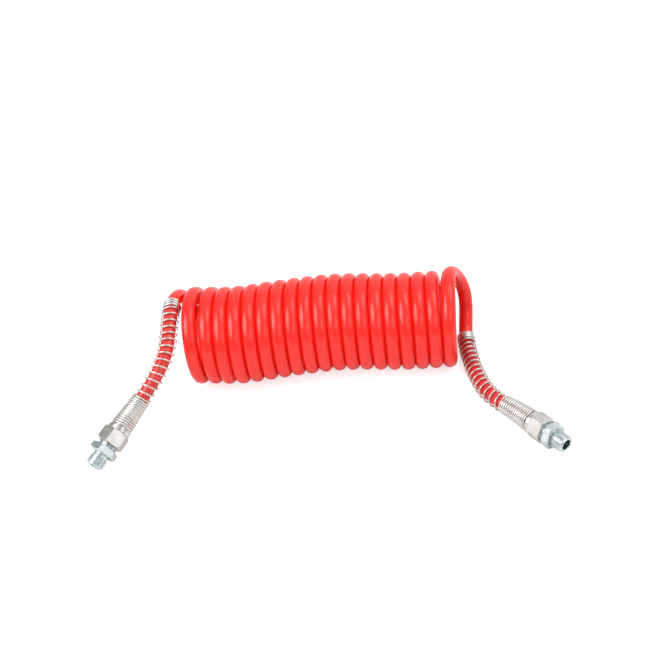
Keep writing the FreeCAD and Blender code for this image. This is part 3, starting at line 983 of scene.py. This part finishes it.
@dataclass(frozen=True)
class Fitting:
    """The compression fitting at one end: its nipple and its union nut.

    Heights are from the port's face backwards along the hose.
    """

    end: HoseEnd
    port_radius: float = 7.925 * MM
    port_length: float = 9.4 * MM
    port_bore: float = 4.75 * MM
    port_chamfer: float = 1.2 * MM
    port_edge: float = 0.15 * MM
    relief_radius: float = 6.7 * MM
    relief_slope: float = 0.7 * MM
    relief_edge: float = 0.3 * MM
    body_hex_start: float = 12.4 * MM
    body_hex_end: float = 19.4 * MM
    body_hex_wall: float = 0.5 * MM
    stud_end: float = 30.6 * MM
    stud_radius: float = 8.85 * MM
    stud_relief: float = 1.6 * MM
    stud_relief_depth: float = 0.8 * MM
    stud_relief_edge: float = 0.2 * MM
    stud_chamfer: float = 0.7 * MM
    socket_floor: float = 19.0 * MM
    socket_radius: float = 6.08 * MM
    socket_edge: float = 0.12 * MM
    cone_start: float = 25.0 * MM
    mouth_radius: float = 7.2703 * MM
    thread_depth: float = 0.92 * MM
    thread_gap: float = 0.05 * MM
    hex_flat: float = 11.0 * MM
    hex_crown: float = 10.3 * MM
    hex_corner_rounding: float = 0.45 * MM
    nut_front: float = 22.4 * MM
    nut_hex_end: float = 36.4 * MM
    nut_back: float = 39.4 * MM
    nut_nose_end: float = 42.7 * MM
    nut_edge: float = 0.25 * MM
    nut_thread_radius: float = 9.05 * MM
    nut_thread_depth: float = 0.5 * MM
    nut_thread_root: float = 0.46 * MM
    nut_passage: float = 6.5 * MM
    nut_seat_sum: float = 41.38 * MM
    collar_radius: float = 10.5 * MM
    collar_edge: float = 0.1 * MM
    nose_radius: float = 8.5 * MM
    nose_chamfer: float = 0.6 * MM

    @property
    def body_middle(self) -> float:
        """Height of the middle of the nipple's hexagon, inside which its shapes overlap."""
        return (self.body_hex_start + self.body_hex_end) / 2.0

    def bar_radius(self, angle: float) -> float:
        """Measures the hexagon bar, which has rounded corners, one of them at angle 0.

        Args:
            angle: the direction.

        Returns:
            Distance from the axis to the bar's surface.
        """
        off = (angle + TAU / 12.0) % (TAU / 6.0) - TAU / 12.0
        rounding = self.hex_corner_rounding
        centre = (self.hex_flat - rounding) / math.cos(TAU / 12.0)
        touch = math.atan2(rounding * math.sin(TAU / 12.0), centre + rounding * math.cos(TAU / 12.0))
        if abs(off) < touch:
            return centre * math.cos(off) + math.sqrt(rounding**2 - (centre * math.sin(off)) ** 2)
        return self.hex_flat / math.cos(TAU / 12.0 - abs(off))

    def bar_rim(self, face: float, sign: float, inset: float, behind: float, angle: float) -> tuple[float, float]:
        """Finds the bar's surface where a cone is turned on its end.

        Args:
            face: height of the end.
            sign: 1 where the bar lies above the face, -1 where it lies below.
            inset: how far inside the bar's surface the rim lies.
            behind: how far past the edge of the cone it lies.
            angle: the place on the rim.

        Returns:
            Radius and height there.
        """
        radius = self.bar_radius(angle)
        return radius - inset, face + sign * ((radius - self.hex_crown) * HEX_BEVEL + behind)

    def bar_end(self, face: float, sign: float) -> list[Rim]:
        """Rounds one end of the hexagon bar: its turned face, the cone and the softened edge.

        Args:
            face: height of the end.
            sign: 1 where the bar lies above the face, -1 where it lies below.

        Returns:
            The rims, from the face to the flats.
        """
        crown = [circle(self.hex_crown + outwards, face + sign * behind) for outwards, behind in CROWN_EDGE]
        return crown + [partial(self.bar_rim, face, sign, inset, behind) for inset, behind in CONE_EDGE]

    def bar(self, start: float, end: float) -> list[Rim]:
        """A hexagon bar from one height to another."""
        return self.bar_end(start, 1.0) + self.bar_end(end, -1.0)[::-1]

    def port_rims(self) -> list[Rim]:
        """Turns the port: its bore, its face, the thread and the groove behind it.

        Returns:
            The rims.
        """
        lip = self.port_chamfer / 4.0
        crown = self.port_radius - self.port_chamfer
        face = [(self.port_bore, self.body_middle), (self.port_bore, lip), (self.port_bore + lip, 0.0), (crown, 0.0)]
        thread = Thread(
            start=0.08 * MM,
            end=self.port_length,
            crest=self.port_radius,
            depth=self.thread_depth,
            lead_radius=crown,
            lead_height=0.0,
        )
        groove = [
            (self.relief_radius + self.relief_edge, self.port_length + self.thread_gap),
            (self.relief_radius, self.port_length + self.relief_slope),
            (self.relief_radius, self.body_middle),
        ]
        return [
            *rounded_outline(face, self.port_edge),
            *thread.rims(),
            *rounded_outline(groove, self.relief_edge),
        ]

    def stud_rims(self) -> list[Rim]:
        """Turns the stud: its groove, its thread, and the socket for the hose.

        Returns:
            The rims.
        """
        neck = self.stud_radius - self.stud_relief_depth
        groove_end = self.body_hex_end + self.stud_relief - self.stud_relief_depth
        groove = [
            (neck, self.body_middle),
            (neck, groove_end),
            (neck + self.stud_relief_edge / 2.0, groove_end + self.stud_relief_edge),
        ]
        mouth = self.stud_radius - self.stud_chamfer
        thread = Thread(
            start=groove_end + self.stud_relief_depth / 2.0,
            end=self.stud_end - self.thread_gap,
            crest=self.stud_radius,
            depth=self.thread_depth,
            lead_radius=mouth,
            lead_height=self.stud_end,
        )
        socket = [
            (mouth, self.stud_end),
            (self.mouth_radius, self.stud_end),
            (self.socket_radius, self.cone_start),
            (self.socket_radius, self.socket_floor),
            (self.port_bore, self.socket_floor),
            (self.port_bore, self.body_middle),
        ]
        return [
            *rounded_outline(groove, self.stud_relief_edge),
            *thread.rims(),
            *rounded_outline(socket, self.socket_edge),
        ]

    def nut_rims(self) -> list[Rim]:
        """Turns the nut behind its hexagon and inside: bare round collar, nose, passage, seat and thread.

        Returns:
            The rims.
        """
        seat_end = self.nut_seat_sum - self.nut_thread_radius
        back = [
            (self.collar_radius - self.collar_edge, self.nut_hex_end + 0.01 * MM),
            (self.collar_radius, self.nut_hex_end + 0.12 * MM),
            (self.collar_radius, self.nut_back),
            (self.nose_radius, self.nut_back),
            (self.nose_radius, self.nut_nose_end - self.nose_chamfer),
            (self.nose_radius - self.nose_chamfer, self.nut_nose_end),
            (self.nut_passage, self.nut_nose_end),
            (self.nut_passage, self.nut_seat_sum - self.nut_passage),
            (self.nut_thread_radius + self.nut_thread_root, seat_end),
        ]
        mouth = self.nut_thread_radius + self.stud_chamfer
        thread = Thread(
            start=seat_end - 0.5 * MM,
            end=self.nut_front + self.thread_gap,
            crest=self.nut_thread_radius,
            depth=-self.nut_thread_depth,
            lead_radius=mouth,
            lead_height=self.nut_front,
        )
        return [*rounded_outline(back, self.nut_edge), *thread.rims(), circle(mouth, self.nut_front)]

    def dress(self, shell: Shell, name: str, finishes: Sequence[bpy.types.Material]) -> bpy.types.Object:
        """Makes a piece of the fitting, and keeps its large faces flat in the shading.

        Args:
            shell: the piece's mesh.
            name: its name, without the side.
            finishes: of its turned faces, then of the hexagon's flats.

        Returns:
            The piece.
        """
        piece = shell.finish(f"{name}_{self.end.side.value}", finishes)
        modifier = piece.modifiers.new("weighted_normals", "WEIGHTED_NORMAL")
        modifier.mode = "FACE_AREA"
        modifier.weight = 60
        modifier.keep_sharp = True
        return piece

    def build_nipple(self, finishes: Sequence[bpy.types.Material]) -> bpy.types.Object:
        """Makes the nipple: threaded port, hexagon and threaded stud, bored for the air and socketed for the hose.

        Args:
            finishes: of its turned faces, then of the hexagon's flats.

        Returns:
            The piece.
        """
        shell = Shell()
        place = self.end.placement(self.end.body_turn)
        inner = self.port_bore + self.body_hex_wall
        flats = [(rim, DRAWN) for rim in self.bar(self.body_hex_start, self.body_hex_end)]
        inside = [(circle(inner, height), TURNED) for height in (self.body_hex_end, self.body_hex_start)]
        turn_shape(shell, [(rim, TURNED) for rim in self.port_rims()], even_angles(), place)
        turn_shape(shell, flats + inside, hexagon_angles(), place)
        turn_shape(shell, [(rim, TURNED) for rim in self.stud_rims()], even_angles(), place)
        piece = self.dress(shell, "nipple_with_threads", finishes)
        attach(piece, "hose")
        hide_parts(f"nipple_{self.end.side.value}")
        return piece

    def build_union_nut(self, finishes: Sequence[bpy.types.Material]) -> bpy.types.Object:
        """Makes the union nut: hexagon, collar and a tail inside the guard spring, with its thread and bore.

        Args:
            finishes: of its turned faces, then of the hexagon's flats.

        Returns:
            The piece.
        """
        shell = Shell()
        flats = [(rim, DRAWN) for rim in self.bar(self.nut_front, self.nut_hex_end)]
        turned = [(rim, TURNED) for rim in self.nut_rims()]
        turn_shape(shell, flats + turned, hexagon_angles(), self.end.placement(self.end.nut_turn))
        piece = self.dress(shell, "union_nut_with_thread", finishes)
        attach(piece, f"{self.end.side.value}_nut")
        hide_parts(f"union_nut_{self.end.side.value}")
        return piece


def finish_inner_brass() -> list[bpy.types.Object]:
    """Gives the clamp rings and the support sleeves, whose CAD shapes stay, their finish.

    Returns:
        The pieces.
    """
    brass = BRASS.material()
    pieces = [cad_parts[f"{kind}_{side.value}"] for side in Side for kind in ("clamp_ring", "support_sleeve")]
    for piece in pieces:
        for place in piece.material_slots:
            place.material = brass
    return pieces


# The studio


@dataclass(frozen=True)
class Viewpoint:
    """Where the photograph was taken from: well above the hose, a little rolled. Angles are in degrees."""

    elevation: float = 38.0
    azimuth: float = -0.2
    roll: float = -3.9
    distance: float = 1.1131
    target: tuple[float, float, float] = (-0.003235, -0.00504, 0.04375)
    sensor: float = 36.0
    lens: float = 67.36
    shift: tuple[float, float] = (0.00662, 0.00323)

    def make(self) -> None:
        """Places the camera."""
        elevation, azimuth, roll = (math.radians(angle) for angle in (self.elevation, self.azimuth, self.roll))
        level = math.cos(elevation)
        look = Vector((math.sin(azimuth) * level, math.cos(azimuth) * level, -math.sin(elevation)))
        right = Vector((math.cos(azimuth), -math.sin(azimuth), 0.0))
        up = right.cross(look)
        across = right * math.cos(roll) + up * math.sin(roll)
        upwards = up * math.cos(roll) - right * math.sin(roll)
        data = bpy.data.cameras.new("camera")
        data.sensor_width = self.sensor
        data.lens = self.lens
        data.shift_x, data.shift_y = self.shift
        data.clip_start = 0.01
        data.clip_end = 20.0
        camera = bpy.data.objects.new("camera", data)
        turn = Matrix((across, upwards, -look)).transposed().to_4x4()
        camera.matrix_world = Matrix.Translation(Vector(self.target) - look * self.distance) @ turn
        bpy.context.scene.collection.objects.link(camera)
        bpy.context.scene.camera = camera


@dataclass(frozen=True)
class Softbox:
    """An area light that looks at the coil. Its power is in watts."""

    name: str
    place: tuple[float, float, float]
    width: float
    height: float
    power: float
    target: tuple[float, float, float] = (0.0, -0.02, 0.04)

    def make(self) -> None:
        """Hangs the light."""
        data = bpy.data.lights.new(self.name, "AREA")
        data.shape = "RECTANGLE"
        data.size = self.width
        data.size_y = self.height
        data.energy = self.power
        lamp = bpy.data.objects.new(self.name, data)
        lamp.location = self.place
        aim = Vector(self.target) - Vector(self.place)
        lamp.rotation_euler = aim.to_track_quat("-Z", "Y").to_euler()
        bpy.context.scene.collection.objects.link(lamp)


SOFTBOXES = (
    Softbox("softbox_left", (-0.80, -0.38, 0.74), 0.80, 0.80, 7.8),
    Softbox("softbox_right", (0.62, 0.05, 1.02), 0.60, 0.85, 3.0),
    Softbox("softbox_front", (0.72, -0.76, 0.58), 0.70, 0.50, 1.3),
)


@dataclass(frozen=True)
class Surround:
    """The white room, as light by direction. Shiny pieces mirror its dim front and a dark flag at the left behind."""

    front_low: float = 0.12
    front_high: float = 0.6
    beside: float = 0.8
    behind: float = 1.02
    flag: float = 0.38
    flag_way: tuple[float, float, float] = (-0.70, 0.52, 0.49)
    for_matt: float = 1.09
    for_camera: float = 1.0

    def make(self) -> None:
        """Makes the world."""
        world = bpy.data.worlds.new("studio")
        bpy.context.scene.world = world
        tree = empty_tree(world)
        way = add_node(tree, "TexCoord").outputs["Generated"]
        split = add_node(tree, "SeparateXYZ", {"Vector": way})
        flag = add_node(tree, "VectorMath", {0: way, 1: self.flag_way}, operation="DOT_PRODUCT")
        front = {"From Min": 0.12, "From Max": 0.5, "To Min": self.front_low, "To Max": self.front_high}
        front["Value"] = split.outputs["Z"]
        mirrored = add_node(tree, "MapRange", front, interpolation_type="SMOOTHSTEP")
        for value, start, end, level in (
            (split.outputs["Y"], -0.55, -0.2, self.beside),
            (split.outputs["Y"], 0.4, 0.75, self.behind),
            (flag.outputs["Value"], 0.8, 0.93, self.flag),
        ):
            limits = {"Value": value, "From Min": start, "From Max": end}
            share = add_node(tree, "MapRange", limits, interpolation_type="SMOOTHSTEP")
            mirrored = add_node(tree, "Mix", {"Factor": share, "A": mirrored, "B": level})
        path = add_node(tree, "LightPath")
        unseen = {"Factor": path.outputs["Is Glossy Ray"], "A": self.for_matt, "B": mirrored}
        seen = {"Factor": path.outputs["Is Camera Ray"], "A": add_node(tree, "Mix", unseen), "B": self.for_camera}
        light = add_node(tree, "Background", {"Strength": add_node(tree, "Mix", seen)})
        add_node(tree, "OutputWorld", {"Surface": light})


@dataclass(frozen=True)
class PaperSweep:
    """The white paper that the hose lies on. It glows for the camera alone, and keeps the soft shadow."""

    reach: float = 6.0
    drop: float = 0.05 * MM
    shade: float = 0.74
    glow: float = 0.64

    def make(self) -> None:
        """Lays the paper."""
        material = bpy.data.materials.new("white_paper_sweep")
        tree = empty_tree(material)
        paper = add_node(tree, "BsdfDiffuse", {"Color": (self.shade, self.shade, self.shade, 1.0)})
        seen = add_node(tree, "LightPath").outputs["Is Camera Ray"]
        strength = add_node(tree, "Math", {0: seen, 1: self.glow}, operation="MULTIPLY")
        glow = add_node(tree, "Emission", {"Color": (1.0, 1.0, 1.0, 1.0), "Strength": strength})
        add_node(tree, "OutputMaterial", {"Surface": add_node(tree, "AddShader", {0: paper, 1: glow})})
        mesh = bpy.data.meshes.new("floor")
        build = bmesh.new()
        bmesh.ops.create_grid(build, x_segments=1, y_segments=1, size=self.reach)
        build.to_mesh(mesh)
        build.free()
        mesh.materials.append(material)
        floor = bpy.data.objects.new("floor", mesh)
        floor.location.z = -self.drop
        bpy.context.scene.collection.objects.link(floor)


def main() -> None:
    """Builds the camera, the dressed hose and its studio, and reports each piece."""
    logging.basicConfig(level=logging.INFO, format="%(name)s: %(message)s")
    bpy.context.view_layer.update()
    bpy.context.scene.view_settings.view_transform = "Standard"
    Viewpoint().make()
    hose = Hose()
    log.info("hose: %.4f m on %d points", hose.path.length, len(hose.points))
    tube = hose.build(POLYAMIDE.material(hose.path.length))
    pieces = [tube]
    wire = WIRE.material()
    nut_finishes = [NUT_TURNED.material(), NUT_DRAWN.material()]
    nipple_finishes = [NIPPLE_TURNED.material(), NIPPLE_DRAWN.material()]
    for end in (LEFT, RIGHT):
        fitting = Fitting(end)
        pieces.append(GuardSpring(end, hose).build(wire))
        pieces.append(fitting.build_union_nut(nut_finishes))
        pieces.append(fitting.build_nipple(nipple_finishes))
    hose.declare()
    pieces += finish_inner_brass()
    for piece in pieces:
        log.info("%s: %d faces", piece.name, len(piece.data.polygons))
    for softbox in SOFTBOXES:
        softbox.make()
    Surround().make()
    PaperSweep().make()


if __name__ == "__main__":
    main()
